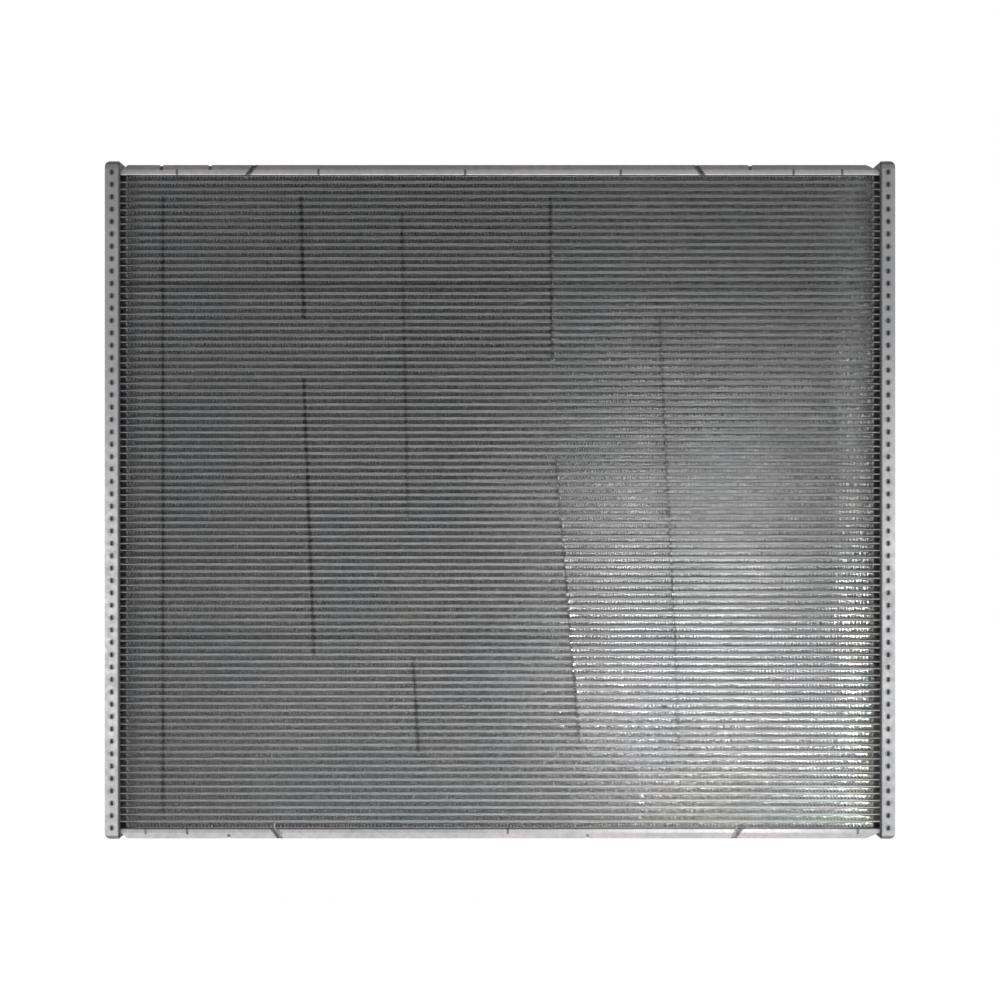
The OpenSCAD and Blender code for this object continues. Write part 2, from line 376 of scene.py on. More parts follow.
def fold_places(rng, sizes):
    """x of every fold of one fin: an even row, stretched and squeezed by three slow sine waves,
    with a small random error for each fold. Both fade out at the ends."""
    count = int(round(CORE_WIDTH / sizes.fold_pitch))
    even = np.linspace(-1, 1, count + 1)
    waves = rng.uniform(2, 9, 3)
    phases = rng.uniform(0, 2 * math.pi, 3)
    drift = (np.sin(even[:, None] * math.pi * waves + phases) / waves).sum(axis=1) * FOLD_DRIFT
    error = rng.normal(0, sizes.unevenness * sizes.fold_pitch, count + 1)
    places = even * (CORE_WIDTH / 2 - sizes.crest / 2 - sizes.sheet)
    places += (drift + error) * (1 - even**8)
    stub = sizes.sheet / 2
    return np.concatenate((places[:1] + [-stub, stub], places[1:-1], places[-1:] + [-stub, stub]))


def pushed_aside(x, height, rng):
    """How far the wires moved the front edges at x: away from each on both sides, by about half its
    gap, fading exponentially with the distance."""
    shift = np.zeros_like(x)
    for top, x_top, bottom, x_bottom, gap, share in WIRE_MARKS:
        if not bottom <= height <= top or rng.random() > share:
            continue
        along = (top - height) / (top - bottom)
        centre = x_top + (x_bottom - x_top) * along + rng.normal(0, WIRE_WANDER)
        away = x - centre
        shift += np.sign(away) * gap * rng.uniform(0.4, 0.6) * np.exp(-np.abs(away) / PUSH_LENGTH)
    return shift


def fin_mesh(x, z_middle, sizes, rng):
    """One folded fin. Its edge is a zigzag line with flat crests, given the sheet's thickness by
    moving it both ways along the bisector at each corner. The line is carried through the core
    on three stations, front, middle and back, and the middle one swerves sideways."""
    side = np.where(np.arange(len(x)) % 2 == 0, -1.0, 1.0)
    reach = FIN_HEIGHT / 2 - sizes.sheet / 2
    line_x = np.stack((x - sizes.crest / 2, x + sizes.crest / 2), axis=1).ravel()
    line_z = np.repeat(side * reach, 2)
    step = np.diff(np.stack((line_x, line_z), axis=1), axis=0)
    step /= np.linalg.norm(step, axis=1, keepdims=True)
    across = np.stack((-step[:, 1], step[:, 0]), axis=1)
    before = np.vstack((across[:1], across))
    after = np.vstack((across, across[-1:]))
    bisector = (before + after) / (1 + (before * after).sum(axis=1))[:, None]
    offset = bisector * sizes.sheet / 2
    loop_x = np.concatenate((line_x + offset[:, 0], (line_x - offset[:, 0])[::-1]))
    loop_z = np.concatenate((line_z + offset[:, 1], (line_z - offset[:, 1])[::-1])) + z_middle
    push = pushed_aside(line_x, z_middle, rng)
    push = np.concatenate((push, push[::-1]))
    count = len(loop_x)
    stations = (
        (FIN_LOW[1], push),
        ((FIN_LOW[1] + FIN_HIGH[1]) / 2, sizes.swerve + push * 0.3),
        (FIN_HIGH[1], np.zeros(count)),
    )
    rings = np.stack([
        np.stack((np.clip(loop_x + shift, FIN_LOW[0], FIN_HIGH[0]), np.full(count, y), loop_z), axis=1)
        for y, shift in stations
    ])
    first = np.arange(count // 2 - 1)
    return carried(rings, np.stack((first, count - 1 - first, count - 2 - first, first + 1), axis=1))


class COOLER_OT_air_fins(bpy.types.Operator):
    """Replaces each bank of wide-folded fins by as many fins with close folds"""

    bl_idname = "cooler.air_fins"
    bl_label = "Air fins"

    def execute(self, context):
        sizes = context.scene.cooler_fins
        finish = fin_finish(context.scene.cooler_finishes, shader_groups(), sizes)
        rng = np.random.default_rng(RNG_SEED)
        for node in BANKS:
            parts = []
            for foot in row_feet(node):
                places = fold_places(rng, sizes)
                parts.append(fin_mesh(places, foot + FIN_HEIGHT / 2, sizes, rng))
            mesh_piece(node.replace("air_fins", "fins"), parts, finish, node)
        return {"FINISHED"}


# ---- Braze beads ----

BEAD_STATIONS = 40
# From the end of a bead to the end of its fin, and how far it wanders up and down.
BEAD_END = 0.0004
BEAD_WANDER = 0.00008


def bead_mesh(y, z, thick, tall, rng):
    """One bead of braze along X. An ellipse of six corners is carried along, and its size and its
    height wander a little from station to station."""
    x = np.linspace(FIN_LOW[0] + BEAD_END, FIN_HIGH[0] - BEAD_END, BEAD_STATIONS)
    turn = np.arange(6) * 2 * math.pi / 6
    swell = 1 + rng.uniform(-0.25, 0.25, BEAD_STATIONS)[:, None]
    wander = rng.uniform(-BEAD_WANDER, BEAD_WANDER, BEAD_STATIONS)[:, None]
    rings = np.broadcast_arrays(
        x[:, None], y + thick * swell * np.cos(turn), z + wander + tall * swell * np.sin(turn))
    return carried(np.stack(rings, axis=2), np.array([[3, 2, 1, 0], [5, 4, 3, 0]]))


class COOLER_OT_braze_beads(bpy.types.Operator):
    """Adds the beads of braze where the fins' crests meet the tubes, front and back"""

    bl_idname = "cooler.braze_beads"
    bl_label = "Braze beads"

    def execute(self, context):
        finish = bead_finish(context.scene.cooler_finishes, shader_groups())
        sizes = context.scene.cooler_beads
        rng = np.random.default_rng(RNG_SEED + 1)
        for node in BANKS:
            parts = [
                bead_mesh(y, z, sizes.thick, sizes.tall, rng)
                for foot in row_feet(node)
                for z in (foot + sizes.inset, foot + FIN_HEIGHT - sizes.inset)
                for y in (FIN_LOW[1], FIN_HIGH[1])
            ]
            mesh_piece(node.replace("air_fins", "beads"), parts, finish)
        return {"FINISHED"}


# ---- Burrs of the saw cuts, and dark strips that stand in for the shade inside the cuts ----

# How far a dark strip, which stands in for the shade inside a cut, lies aside of its cut, and behind the
# plate's sheet.
STRIP_ASIDE = 0.0007
STRIP_BEHIND = 0.0004
# Half the width of a curl at its foot, its gap to the plate, and how far it bows out.
CURL_HALF = 0.0017
CURL_GAP = 0.0012
CURL_BOW = 0.0016


def strip_mesh(x, y, z, half, thick):
    """A flat strip that faces the front. A box of four corners, half wide to each side, is carried
    along the path x, y, z."""
    side = np.array([-1, 1, 1, -1])
    deep = np.array([-0.5, -0.5, 0.5, 0.5]) * thick
    rings = np.broadcast_arrays(x[:, None] + half[:, None] * side, y[:, None] + deep, z[:, None])
    return carried(np.stack(rings, axis=2), np.array([[3, 2, 1, 0]]))


def shade_strips(place, lean, edge, sizes, along):
    """Dark strips behind a cut, front and back, which stand in for the shade inside it. They follow the
    cut from near the plate's tip towards its web, and their width waves along them."""
    z = edge.tip + (edge.web - edge.tip) * (0.03 + 0.8 * along)
    x = place + lean * (z - edge.web) / (edge.tip - edge.web) - math.copysign(STRIP_ASIDE, lean)
    inward = np.maximum(np.abs(z - edge.web) - FLANGE_UPRIGHT, 0) * LIP_SLOPE
    y = edge.depth - PLATE_SHEET - inward - STRIP_BEHIND
    half = sizes.wide / 2 * (1 + 0.1 * np.sin(17 * along))
    return [strip_mesh(x, -y, z, half, sizes.thick), strip_mesh(x, y, z, half, sizes.thick)]


def curl(place, lean, edge, sizes, along):
    """A curl in front of a cut. It stands up past the web over the first fins, swings from side to
    side in a sine wave that grows, bows out in half a sine wave, and narrows to its end."""
    top = edge.web + math.copysign(sizes.reach, edge.web - edge.tip)
    swing = sizes.sway * np.sin(2 * math.pi * 1.3 * along + 0.6) * (0.4 + 0.6 * along)
    x = place + lean * (1 - along) + swing
    y = -edge.depth - CURL_GAP - CURL_BOW * np.sin(math.pi * along)
    z = edge.tip + (top - edge.tip) * (0.1 + 0.9 * along)
    return strip_mesh(x, y, z, CURL_HALF * (1.1 - 0.7 * along), sizes.thick)


class COOLER_OT_shade_strip_and_burrs(bpy.types.Operator):
    """Adds dark strips behind the saw cuts, which stand in for the shade inside them, and two curls of burr
    in front
    """

    bl_idname = "cooler.saw_burrs"
    bl_label = "Shade strips and burrs"

    def execute(self, context):
        sizes = context.scene.cooler_burrs
        finish = burr_and_shade_strip_finish(shader_groups())
        along = np.linspace(0, 1, 40)
        for edge in PLATE_EDGES:
            for side, place, lean in edge.cuts:
                # Dark strips behind the cut stand in for the shade inside it.
                parts = shade_strips(place, lean, edge, sizes, along)
                if not edge.is_top:
                    parts.append(curl(place, lean, edge, sizes, along))
                mesh_piece(f"saw_burr_{edge.name}_{side}", parts, finish)
        return {"FINISHED"}


# ---- Shader helpers ----


def fill(tree, node, sockets):
    """Gives each named input of a node its value, or links it from another node's output."""
    for key, value in sockets.items():
        if isinstance(value, bpy.types.NodeSocket):
            tree.links.new(value, node.inputs[key])
        else:
            node.inputs[key].default_value = value
    return node


def put(tree, kind, sockets, **settings):
    """A new shader node with its settings, and its inputs filled."""
    node = tree.nodes.new("ShaderNode" + kind)
    for key, value in settings.items():
        setattr(node, key, value)
    return fill(tree, node, sockets)


def math_node(tree, operation, *values):
    """The result of one sum on one to three values."""
    return put(tree, "Math", dict(enumerate(values)), operation=operation).outputs[0]


def times(tree, first, second):
    """Two values multiplied."""
    return math_node(tree, "MULTIPLY", first, second)


def away_from(tree, value, place):
    """How far a value is from a place, to either side."""
    return math_node(tree, "ABSOLUTE", math_node(tree, "SUBTRACT", value, place))


def ramped(tree, value, low, high, to_low, to_high):
    """A value spread from one range to another, and held at its ends."""
    return put(tree, "MapRange", {
        "Value": value, "From Min": low, "From Max": high, "To Min": to_low, "To Max": to_high,
    }).outputs[0]


def mixed(tree, share, first, second):
    """One colour turning into another by a share from 0 to 1."""
    ends = [end if isinstance(end, bpy.types.NodeSocket) else (*end, 1) for end in (first, second)]
    return put(tree, "Mix", {0: share, 6: ends[0], 7: ends[1]}, data_type="RGBA").outputs[2]


def stained(tree, tint, value, low, high, share, stain):
    """A colour under a stain, or under painted shade where a caller uses it so, which isn't there
    where the value is low and takes its whole share where the value is high."""
    return mixed(tree, ramped(tree, value, low, high, 0, share), tint, stain)


def scaled(colour, by, warm=0.0):
    """A colour made lighter or darker, and a little warmer or cooler."""
    return colour[0] * by * (1 + warm), colour[1] * by, colour[2] * by * (1 - warm)


def scaled_socket(tree, colour, by):
    """A colour from another node made lighter or darker."""
    return put(tree, "VectorMath", {0: colour, 3: by}, operation="SCALE").outputs[0]


def object_place(tree):
    """A point in the object's own coordinates, in metres, whole and as its X, Y and Z."""
    place = put(tree, "TexCoord", {}).outputs["Object"]
    return place, put(tree, "SeparateXYZ", {0: place}).outputs


def facing_x(tree):
    """How much a face looks to the right, from -1 to 1."""
    return put(tree, "SeparateXYZ", {0: put(tree, "NewGeometry", {}).outputs["True Normal"]}).outputs["X"]


def bumped(tree, strength, distance, height, **more):
    """The normal of a surface with a height pressed into it."""
    sockets = {"Strength": strength, "Distance": distance, "Height": height}
    return put(tree, "Bump", {**sockets, **more}).outputs["Normal"]


# ---- Shader groups ----


def new_group(name, inputs, outputs):
    """An empty shader group with number inputs (name, value) and number outputs, and its two ends:
    the outputs that give its inputs, and the inputs that take its results."""
    tree = bpy.data.node_groups.new(name, "ShaderNodeTree")
    for label, value in inputs:
        tree.interface.new_socket(label, in_out="INPUT", socket_type="NodeSocketFloat").default_value = value
    for label in outputs:
        tree.interface.new_socket(label, in_out="OUTPUT", socket_type="NodeSocketFloat")
    return tree, tree.nodes.new("NodeGroupInput").outputs, tree.nodes.new("NodeGroupOutput").inputs


def use_group(tree, group, **values):
    """The outputs of a group that is put into a material, its inputs set by name."""
    node = tree.nodes.new("ShaderNodeGroup")
    node.node_tree = group
    return fill(tree, node, values).outputs


def louvre_group():
    """Height of the louvres lanced into a fin's legs: slats that slope one way through the front
    half of the core and the other way through the back half, on both faces of the sheet."""
    tree, given, result = new_group("louvres", [("Pitch", 0.0015), ("Slope", 0.5)], ["Height"])
    y = object_place(tree)[1]["Y"]
    turn = math_node(tree, "DIVIDE", math_node(tree, "ADD", y, 1.0), given["Pitch"])
    rise = times(tree, math_node(tree, "FRACT", turn), times(tree, given["Pitch"], given["Slope"]))
    signed = times(tree, rise, math_node(tree, "SIGN", facing_x(tree)))
    tree.links.new(times(tree, signed, math_node(tree, "SIGN", y)), result["Height"])
    return tree


def grain_group():
    """Drawn grain of rolled sheet: noise stretched along one axis. Long, Side and Deep are how many
    streaks there are to the metre along X, Z and Y."""
    tree, given, result = new_group(
        "mill_grain", [("Long", 40.0), ("Side", 1500.0), ("Deep", 1500.0)], ["Height"])
    counts = put(tree, "CombineXYZ", {0: given["Long"], 1: given["Deep"], 2: given["Side"]}).outputs[0]
    spread = put(tree, "VectorMath", {0: object_place(tree)[0], 1: counts}, operation="MULTIPLY").outputs[0]
    noise = put(tree, "TexNoise", {"Vector": spread, "Scale": 1.0, "Detail": 3.0, "Roughness": 0.6})
    tree.links.new(noise.outputs[0], result["Height"])
    return tree


def mottle_group():
    """Cloudy stains left by brazing: broad clouds, small blotches, and specks of flux."""
    tree, given, result = new_group(
        "braze_mottle", [("Clouds", 9.0), ("Blotches", 90.0), ("Specks", 0.5)], ["Cloud", "Blotch", "Speck"])
    place = object_place(tree)[0]
    cloud = put(tree, "TexNoise", {
        "Vector": place, "Scale": given["Clouds"], "Detail": 4.0, "Roughness": 0.55})
    blotch = put(tree, "TexNoise", {
        "Vector": place, "Scale": given["Blotches"], "Detail": 5.0, "Roughness": 0.65, "Distortion": 0.4})
    fine = put(tree, "TexNoise", {"Vector": place, "Scale": 420.0, "Detail": 2.0})
    tree.links.new(cloud.outputs[0], result["Cloud"])
    tree.links.new(blotch.outputs[0], result["Blotch"])
    tree.links.new(ramped(tree, fine.outputs[0], 0.62, 0.7, 0, given["Specks"]), result["Speck"])
    return tree


def wear_and_highlight_group():
    """Edges made bright, partly as rubbed wear and partly as painted highlight: where the rounded normal
    leaves the true one, broken up by noise.
    """
    tree, given, result = new_group("edge_wear", [("Radius", 0.0008), ("Break", 0.5)], ["Wear"])
    rounded = put(tree, "Bevel", {"Radius": given["Radius"]}, samples=4).outputs[0]
    true = put(tree, "NewGeometry", {}).outputs["True Normal"]
    same = put(tree, "VectorMath", {0: rounded, 1: true}, operation="DOT_PRODUCT").outputs["Value"]
    edge = ramped(tree, same, 0.99, 0.8, 0, 1)
    noise = put(tree, "TexNoise", {"Vector": object_place(tree)[0], "Scale": 160.0, "Detail": 3.0})
    broken = ramped(tree, noise.outputs[0], given["Break"], 0.62, 0.35, 1)
    tree.links.new(times(tree, edge, broken), result["Wear"])
    return tree


def wire_soot_and_row_shade_group():
    """Soot where the fixture's wires lay against the front, in lines broken up by noise, and painted
    shade on a few whole rows."""
    tree, given, result = new_group("wire_marks", [("Width", 0.0016)], ["Mark"])
    place, axes = object_place(tree)
    mark = 0.0
    for top, x_top, bottom, x_bottom, _, strength in WIRE_MARKS:
        centre = ramped(tree, axes["Z"], bottom, top, x_bottom, x_top)
        line = ramped(tree, away_from(tree, axes["X"], centre), given["Width"], 0.0004, 0, strength)
        from_middle = away_from(tree, axes["Z"], (top + bottom) / 2)
        inside = math_node(tree, "LESS_THAN", from_middle, (top - bottom) / 2)
        mark = math_node(tree, "MAXIMUM", mark, times(tree, line, inside))
    noise = put(tree, "TexNoise", {"Vector": place, "Scale": 130.0, "Detail": 2.0}).outputs[0]
    mark = times(tree, mark, ramped(tree, noise, 0.35, 0.55, 0.5, 1))
    # Painted shade: a few whole rows are darkened.
    for height, strength in SHADED_ROWS:
        shaded_row = ramped(tree, away_from(tree, axes["Z"], height), 0.0045, 0.003, 0, strength)
        mark = math_node(tree, "MAXIMUM", mark, shaded_row)
    front = ramped(tree, axes["Y"], -0.016, -0.022, 0, 1)
    tree.links.new(times(tree, mark, front), result["Mark"])
    return tree


GROUP_MAKERS = {
    "louvres": louvre_group, "mill_grain": grain_group, "braze_mottle": mottle_group,
    "edge_wear": wear_and_highlight_group, "wire_marks": wire_soot_and_row_shade_group,
}


def shader_groups():
    """The shader groups that the finishes share, each made once."""
    return {name: bpy.data.node_groups.get(name) or make() for name, make in GROUP_MAKERS.items()}


# ---- Finishes ----

# Soot of the wire marks; it also colours the painted shade of the darker rows.
SOOT_AND_ROW_SHADE = (0.05, 0.05, 0.048)
# Where braze shows on a fin: from none to all, so far from its crests, and so far in from its
# front and back edges.
BRAZE_FROM_CREST = (0.0012, 0.0006)
BRAZE_FROM_EDGE = (0.0025, 0.001)
# Where a fin is darkened to near black: from none to all, so far in from its back edge.
DARK_FROM_BACK = (0.014, 0.006)
# Where painted shade lies round a crimp slot: from none to all, so far from its middle.
CRIMP_SHADE = (0.0046, 0.0024)
# Half the widths of the painted shade at saw cuts, nicks and tie slots.
CUT_SHADE = 0.0048
NOTCH_SHADE = 0.0026
SLOT_SHADE = 0.0018


def inside_of(tree, value, end, depths):
    """0 where a value is further below end than the first depth, rising to 1 at the second."""
    return ramped(tree, value, end - depths[0], end - depths[1], 0, 1)


def new_finish(name):
    """A new material, its node tree and its Principled shader."""
    finish = bpy.data.materials.new(name)
    finish.use_nodes = True
    tree = finish.node_tree
    return finish, tree, tree.nodes["Principled BSDF"]


def clouded(tree, colour, mottle, low, high, darker, lighter):
    """A colour in slow clouds: each of darker and lighter is how far it is scaled and warmed."""
    share = ramped(tree, mottle["Cloud"], low, high, 0, 1)
    return mixed(tree, share, scaled(colour, *darker), scaled(colour, *lighter))


def fin_finish(colours, groups, sizes):
    """Thin brazed sheet, dulled by flux, with lanced louvres. Its crests are grey with braze near
    the front and back edges, and it is darkened to near black towards the back."""
    finish, tree, shader = new_finish("fin_brazed_aluminium")
    colour = colours.fin
    mottle = use_group(tree, groups["braze_mottle"], Clouds=7.0, Blotches=60.0, Specks=0.6)
    axes = object_place(tree)[1]
    tint = clouded(tree, colour, mottle, 0.4, 0.6, (0.95, -0.03), (1.05, 0.03))
    tint = stained(tree, tint, mottle["Blotch"], 0.35, 0.7, 0.5, scaled(colour, 0.65))
    tint = mixed(tree, mottle["Speck"], tint, (0.85, 0.85, 0.84))
    rows = math_node(tree, "DIVIDE", math_node(tree, "SUBTRACT", axes["Z"], FIN_LOW[2]), ROW_PITCH)
    in_row = times(tree, math_node(tree, "FRACT", math_node(tree, "ADD", rows, 1.0)), ROW_PITCH)
    from_middle = away_from(tree, in_row, FIN_HEIGHT / 2)
    crest = inside_of(tree, from_middle, FIN_HEIGHT / 2, BRAZE_FROM_CREST)
    edge = inside_of(tree, math_node(tree, "ABSOLUTE", axes["Y"]), FIN_HIGH[1], BRAZE_FROM_EDGE)
    braze = times(tree, crest, edge)
    tint = mixed(tree, braze, tint, (0.62, 0.62, 0.62))
    darkening_from, darkest_from = (FIN_HIGH[1] - depth for depth in DARK_FROM_BACK)
    tint = stained(tree, tint, axes["Y"], darkening_from, darkest_from, 0.95, (0.08, 0.078, 0.075))
    # The wire soot, with the painted shade of the darker rows.
    wires = use_group(tree, groups["wire_marks"], Width=0.0030)
    tint = mixed(tree, wires["Mark"], tint, SOOT_AND_ROW_SHADE)
    rough = math_node(
        tree, "MAXIMUM", ramped(tree, mottle["Blotch"], 0.3, 0.7, 0.42, 0.52), times(tree, braze, 0.6))
    louvres = use_group(tree, groups["louvres"], Pitch=sizes.louvre_pitch, Slope=sizes.louvre_slope)
    fill(tree, shader, {
        "Base Color": tint,
        "Metallic": ramped(tree, braze, 0, 1, 0.9, 0.25),
        "Roughness": rough,
        "Normal": bumped(tree, math_node(tree, "SUBTRACT", 1.0, braze), 1.0, louvres["Height"]),
    })
    return finish


def bead_finish(colours, groups):
    """Braze that ran and set: dull silver, pitted, darker where soot lay."""
    finish, tree, shader = new_finish("braze_bead")
    colour = colours.bead
    mottle = use_group(tree, groups["braze_mottle"], Clouds=8.0, Blotches=240.0, Specks=0.3)
    pits = ramped(tree, mottle["Blotch"], 0.4, 0.65, 0, 1)
    tint = mixed(tree, pits, scaled(colour, 1.12, -0.01), scaled(colour, 0.7, 0.02))
    tint = stained(tree, tint, mottle["Cloud"], 0.4, 0.6, 0.4, scaled(colour, 0.85, -0.02))
    # The wire soot, with the painted shade of the darker rows.
    wires = use_group(tree, groups["wire_marks"], Width=0.0030)
    fill(tree, shader, {
        "Base Color": mixed(tree, wires["Mark"], tint, SOOT_AND_ROW_SHADE),
        "Metallic": 0.8,
        "Roughness": ramped(tree, mottle["Blotch"], 0.3, 0.7, 0.42, 0.6),
        "Normal": bumped(tree, 0.5, 0.0002, mottle["Blotch"]),
    })
    return finish


def burr_and_shade_strip_finish(groups):
    """Torn aluminium of the curls, and the strips behind the cuts: dark, as burn on the curls and as
    painted shade on the strips, darker in blotches, and bright at its edges, partly as wear and partly as
    painted highlight.
    """
    finish, tree, shader = new_finish("saw_burr")
    mottle = use_group(tree, groups["braze_mottle"], Clouds=60.0, Blotches=420.0, Specks=0.3)
    wear_and_glint = use_group(tree, groups["edge_wear"], Radius=0.0005, Break=0.4)
    burnt = ramped(tree, mottle["Blotch"], 0.4, 0.6, 0, 1)
    # Dark colour: burn on the curls, painted shade on the strips behind the cuts.
    tint = mixed(tree, burnt, (0.12, 0.116, 0.112), (0.3, 0.295, 0.29))
    fill(tree, shader, {
        # Painted highlight and wear: the edges are made lighter.
        "Base Color": mixed(tree, wear_and_glint["Wear"], tint, (0.6, 0.6, 0.59)),
        "Metallic": 0.6,
        "Roughness": ramped(tree, mottle["Blotch"], 0.3, 0.7, 0.4, 0.62),
        "Normal": bumped(tree, 0.5, 0.0002, mottle["Blotch"]),
    })
    return finish


def tube_finish(colours, groups):
    """Drawn tube, pale where the fins lie on it, and dulled on its noses by the braze that ran there."""
    finish, tree, shader = new_finish("tube_brazed_aluminium")
    colour = colours.tube
    mottle = use_group(tree, groups["braze_mottle"], Clouds=8.0, Blotches=70.0, Specks=0.4)
    grain = use_group(tree, groups["mill_grain"], Long=45.0, Side=900.0, Deep=900.0)
    depth = math_node(tree, "ABSOLUTE", object_place(tree)[1]["Y"])
    tint = clouded(tree, colour, mottle, 0.4, 0.6, (0.92, -0.02), (1.08, 0.02))
    nose = ramped(tree, depth, TUBE_NOSE_Y - 0.0006, TUBE_NOSE_Y, 0, 1)
    tint = mixed(tree, nose, (0.8, 0.8, 0.8), tint)
    tint = stained(tree, tint, grain["Height"], 0.4, 0.65, 0.6, scaled(colour, 0.7))
    wires = use_group(tree, groups["wire_marks"], Width=0.0022)
    fill(tree, shader, {
        # Wire soot, and the painted shade of the darker rows.
        "Base Color": mixed(tree, wires["Mark"], tint, (0.08, 0.08, 0.078)),
        "Metallic": 0.75,
        "Roughness": ramped(tree, grain["Height"], 0.3, 0.7, 0.38, 0.55),
        "Normal": bumped(tree, 0.6, 0.0003, mottle["Blotch"]),
    })
    return finish


def header_painted_shade(tree, tint, rough, axes):
    """Painted shade on a header: its faces that look at the fins are made dark grey, rough and less
    metallic, and its gasket groove and a ring round each crimp slot are made darker. Gives the new colour
    and roughness, and how bare the metal is."""
    outward = times(tree, facing_x(tree), math_node(tree, "SIGN", axes["X"]))
    # Painted shade: the faces that look at the fins turn dark grey, rough and less metallic.
    inner = ramped(tree, outward, -0.2, -0.7, 0, 1)
    tint = mixed(tree, times(tree, inner, 0.9), tint, (0.4, 0.41, 0.405))
    # Painted shade: the inside of the gasket groove turns nearly black, so the crimp slots look dark.
    from_groove = away_from(tree, math_node(tree, "ABSOLUTE", axes["Y"]), GROOVE_Y)
    groove = math_node(tree, "LESS_THAN", from_groove, GROOVE_WIDTH / 2 + 0.0001)
    tint = mixed(tree, times(tree, groove, 0.8), tint, (0.16, 0.16, 0.16))
    # Painted shade: a dark ring round each crimp slot.
    turn = math_node(tree, "DIVIDE", math_node(tree, "SUBTRACT", axes["Z"], MIDDLE[2]), CRIMP_PITCH)
    turn = math_node(tree, "FRACT", math_node(tree, "ADD", turn, 100.0))
    up = times(tree, math_node(tree, "SUBTRACT", turn, 0.5), CRIMP_PITCH)
    aside = math_node(tree, "SUBTRACT", math_node(tree, "ABSOLUTE", axes["X"]), CRIMP_X)
    squares = math_node(tree, "ADD", times(tree, up, up), times(tree, aside, aside))
    from_slot = math_node(tree, "SQRT", squares)
    tint = stained(tree, tint, from_slot, *CRIMP_SHADE, 0.7, (0.2, 0.198, 0.195))
    rough = math_node(tree, "MAXIMUM", rough, times(tree, inner, 0.9))
    return tint, rough, math_node(tree, "SUBTRACT", 1.0, inner)


def dark_marks(edge):
    """The marks of painted shade on an edge's plates: each one's place along X at the web, its lean,
    its half width, and the heights between which it shows."""
    low, high = sorted((edge.web, edge.tip))
    marks = [(place, lean, CUT_SHADE, low, high) for _, place, lean in edge.cuts]
    low, high = sorted((edge.lip, edge.tip))
    marks += [(x, 0.0, NOTCH_SHADE, low - 0.001, high) for x in edge.notches]
    low, high = sorted((edge.lip, edge.web))
    marks += [(x, 0.0, SLOT_SHADE, low, high) for x in edge.slots]
    return marks


def plate_painted_light_and_shade(tree, tint, axes, blotch, edge):
    """Painted light and shade on a side plate: painted shade along the bend at its web and at the saw
    cuts, nicks and tie slots. On the top plate the band below the lip is painted lighter and the lip painted
    darker."""
    # Painted light and shade: the top plate's band is made lighter and its lip darker.
    if edge.is_top:
        lip = ramped(tree, axes["Z"], edge.lip - 0.0003, edge.lip + 0.0003, 0, 1)
        tint = mixed(tree, lip, scaled_socket(tree, tint, 1.32), scaled_socket(tree, tint, 0.92))
    out = ramped(tree, axes["Z"], edge.web, edge.tip, 0, 1)
    # Painted shade: the plate turns dark along the bend at its web.
    tint = stained(tree, tint, out, 0.14, 0.07, 0.8, (0.13, 0.128, 0.125))
    # Painted shade at the saw cuts, nicks and tie slots, broken up by the blotches.
    dark = 0.0
    for x, lean, half_width, low, high in dark_marks(edge):
        away = away_from(tree, axes["X"], math_node(tree, "MULTIPLY_ADD", out, lean, x))
        near = ramped(tree, away, half_width, half_width * 0.45, 0, 0.9)
        above = math_node(tree, "GREATER_THAN", axes["Z"], low)
        below = math_node(tree, "LESS_THAN", axes["Z"], high)
        dark = math_node(tree, "MAXIMUM", dark, times(tree, near, times(tree, above, below)))
    ragged = ramped(tree, blotch, 0.3, 0.6, 0.55, 1)
    return mixed(tree, times(tree, dark, ragged), tint, (0.1, 0.098, 0.096))


def sheet_finish(name, colour, groups, long, side, edge=None):
    """Rolled sheet with drawn grain, braze stains, edges made bright as partly wear and partly painted
    highlight, and painted light and shade, on the side plates of an edge, or on the headers where no edge is
    given."""
    finish, tree, shader = new_finish(name)
    mottle = use_group(tree, groups["braze_mottle"], Clouds=11.0, Blotches=120.0, Specks=0.25)
    grain = use_group(tree, groups["mill_grain"], Long=long, Side=side, Deep=1500.0)
    wear_and_glint = use_group(tree, groups["edge_wear"], Radius=0.0008, Break=0.42)
    axes = object_place(tree)[1]
    tint = clouded(tree, colour, mottle, 0.38, 0.62, (0.93, -0.015), (1.06, 0.02))
    tint = stained(tree, tint, mottle["Blotch"], 0.45, 0.75, 0.55, scaled(colour, 0.62, 0.02))
    tint = stained(tree, tint, grain["Height"], 0.45, 0.75, 0.25, scaled(colour, 0.75))
    # Painted highlight and wear: the edges are made lighter.
    tint = mixed(tree, wear_and_glint["Wear"], tint, scaled(colour, 1.35))
    rough = ramped(tree, mottle["Blotch"], 0.3, 0.7, 0.3, 0.44)
    metallic = 1.0
    if edge:
        tint = plate_painted_light_and_shade(tree, tint, axes, mottle["Blotch"], edge)
    else:
        tint, rough, metallic = header_painted_shade(tree, tint, rough, axes)
    pitted = bumped(tree, 0.5, 0.0002, mottle["Blotch"])
    fill(tree, shader, {
        "Base Color": tint,
        "Metallic": metallic,
        "Roughness": rough,
        "Normal": bumped(tree, 0.25, 0.00008, grain["Height"], Normal=pitted),
    })
    return finish


def turbulator_finish(colours, groups):
    """Bright strip inside the tubes, hardly stained."""
    finish, tree, shader = new_finish("turbulator_strip")
    mottle = use_group(tree, groups["braze_mottle"], Clouds=20.0, Blotches=200.0, Specks=0.0)
    fill(tree, shader, {
        "Base Color": mixed(tree, mottle["Blotch"], scaled(colours.tube, 0.8), scaled(colours.tube, 1.4)),
        "Metallic": 1.0,
        "Roughness": ramped(tree, mottle["Cloud"], 0.3, 0.7, 0.35, 0.55),
    })
    return finish


def dress(start, finish):
    """Gives a finish to every CAD node whose name starts so."""
    for node in nodes_named(start):
        materials = NODES[node].data.materials
        materials.clear()
        materials.append(finish)


